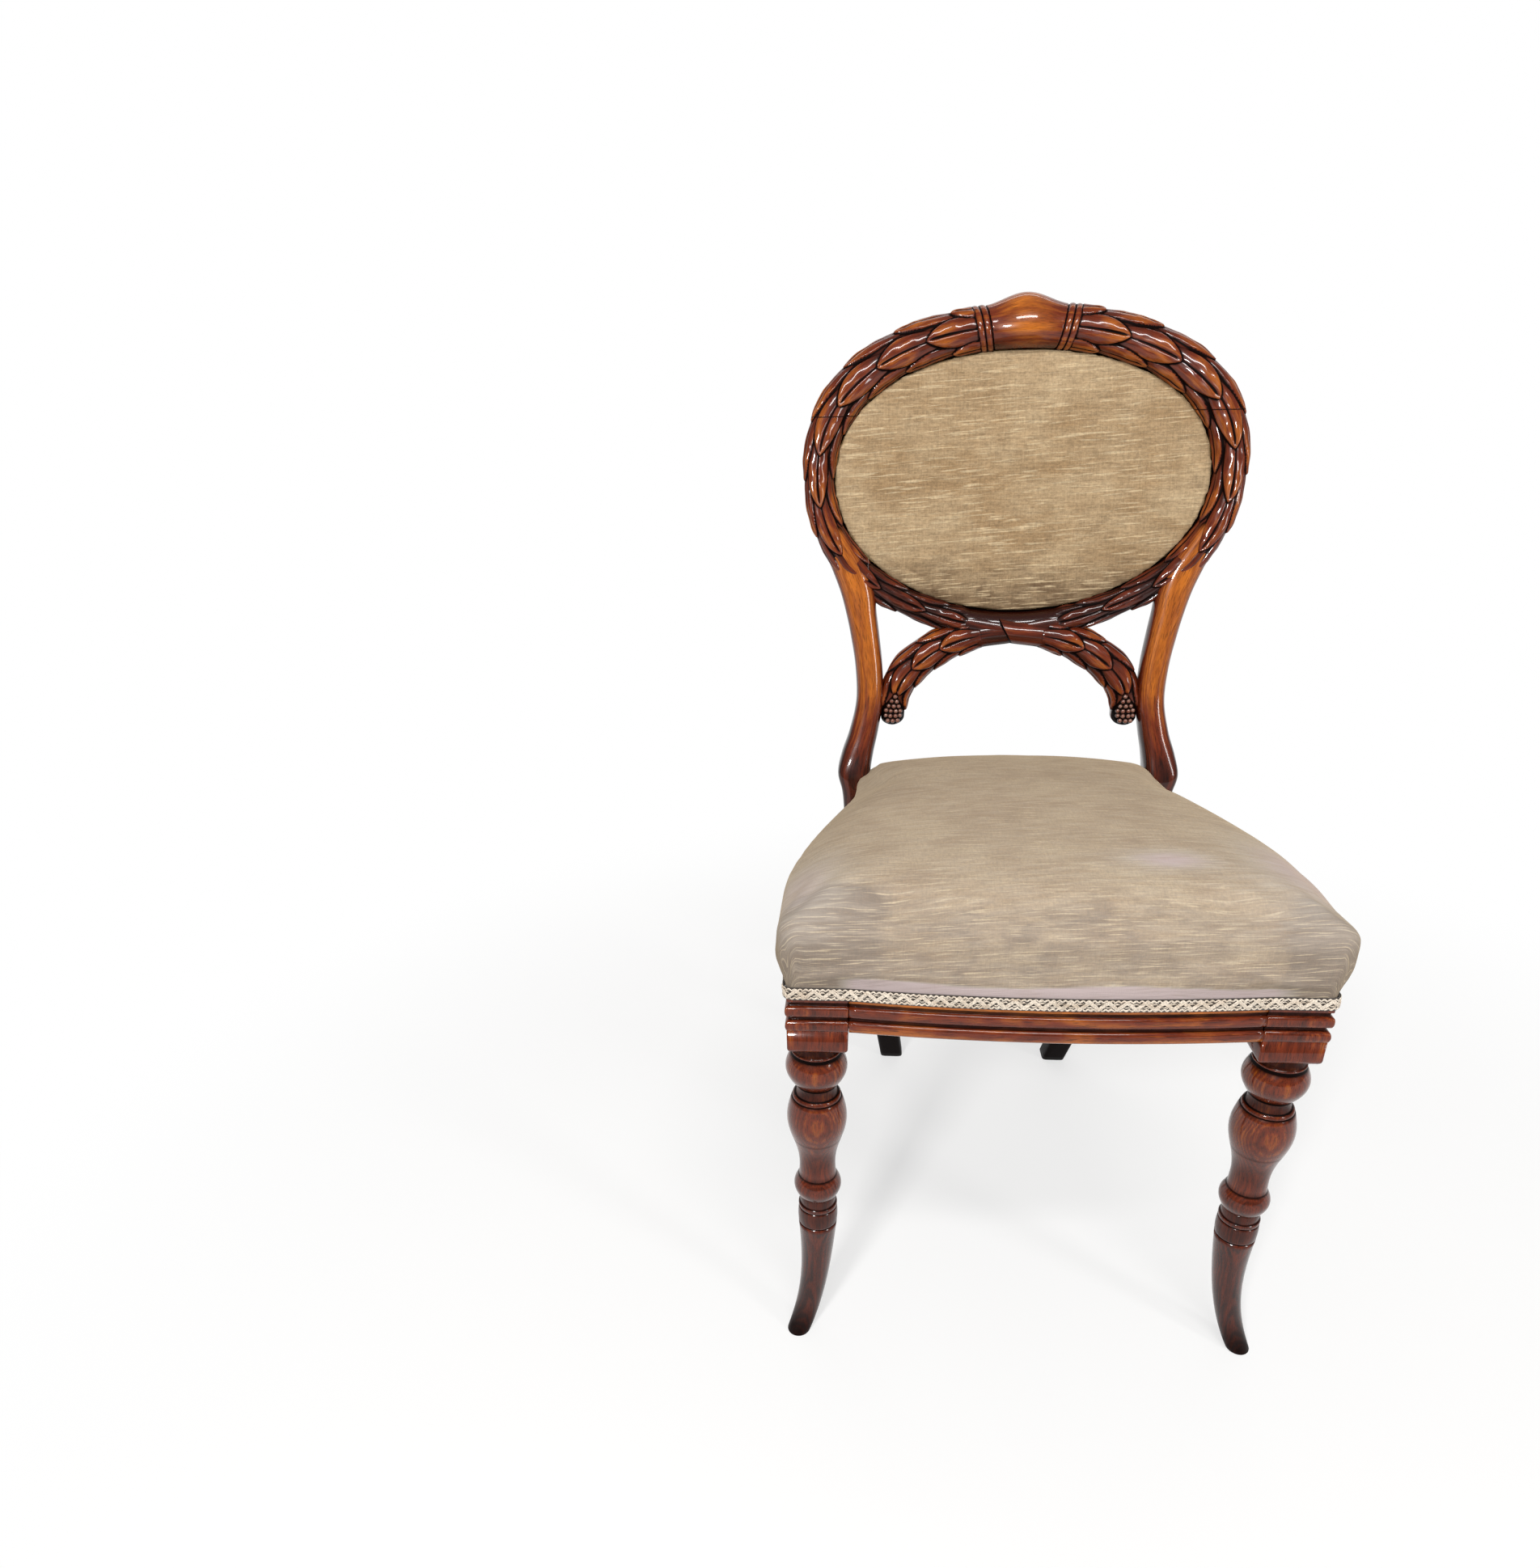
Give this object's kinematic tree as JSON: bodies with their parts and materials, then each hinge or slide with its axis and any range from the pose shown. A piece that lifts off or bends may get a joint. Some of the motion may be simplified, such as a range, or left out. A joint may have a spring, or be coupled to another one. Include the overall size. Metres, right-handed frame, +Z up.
{
  "type": "balloon back chair",
  "caption": "Dining chair with an oval upholstered back framed by a carved laurel wreath, a bulging stuffed-over seat, turned front legs with kicked feet and raked rear legs",
  "frame": {"origin": "on the floor under the middle of the chair's bounding box", "axes": "+Z up, -Y towards the front of the chair, +X to the right as seen from the front"},
  "size_m": [0.435, 0.5264, 0.89],
  "materials": {
    "polished_wood": "polished",
    "dark_wood": "oiled",
    "inner_wood": "unfinished",
    "velvet": "slub velvet",
    "braid": "woven braid",
    "filling": "wadding",
    "jute": "woven jute",
    "black_cloth": "plain weave"
  },
  "bodies": {
    "root": {"crest_rail": "polished_wood", "back_cross_rail": "polished_wood", "rear_leg_right": "polished_wood", "rear_leg_left": "polished_wood", "crest_dowel_right": "inner_wood", "crest_dowel_left": "inner_wood", "cross_dowel_right": "inner_wood", "cross_dowel_left": "inner_wood", "front_leg_right": "polished_wood", "front_leg_left": "polished_wood", "front_rail": "polished_wood", "side_rail_right": "polished_wood", "side_rail_left": "polished_wood", "back_rail": "dark_wood", "corner_block_front_right": "inner_wood", "corner_block_front_left": "inner_wood", "corner_block_rear_right": "inner_wood", "corner_block_rear_left": "inner_wood", "webbing_long_1": "jute", "webbing_cross_1": "jute", "webbing_long_2": "jute", "webbing_cross_2": "jute", "webbing_long_3": "jute", "webbing_cross_3": "jute", "seat_hessian": "jute", "seat_stuffing": "filling", "seat_cover": "velvet", "gimp_braid": "braid", "gimp_braid_rear": "braid", "bottoming_cloth": "black_cloth", "back_hessian": "jute", "back_stuffing": "filling", "back_cover": "velvet", "outside_back_cloth": "velvet"}
  },
  "joints": []
}
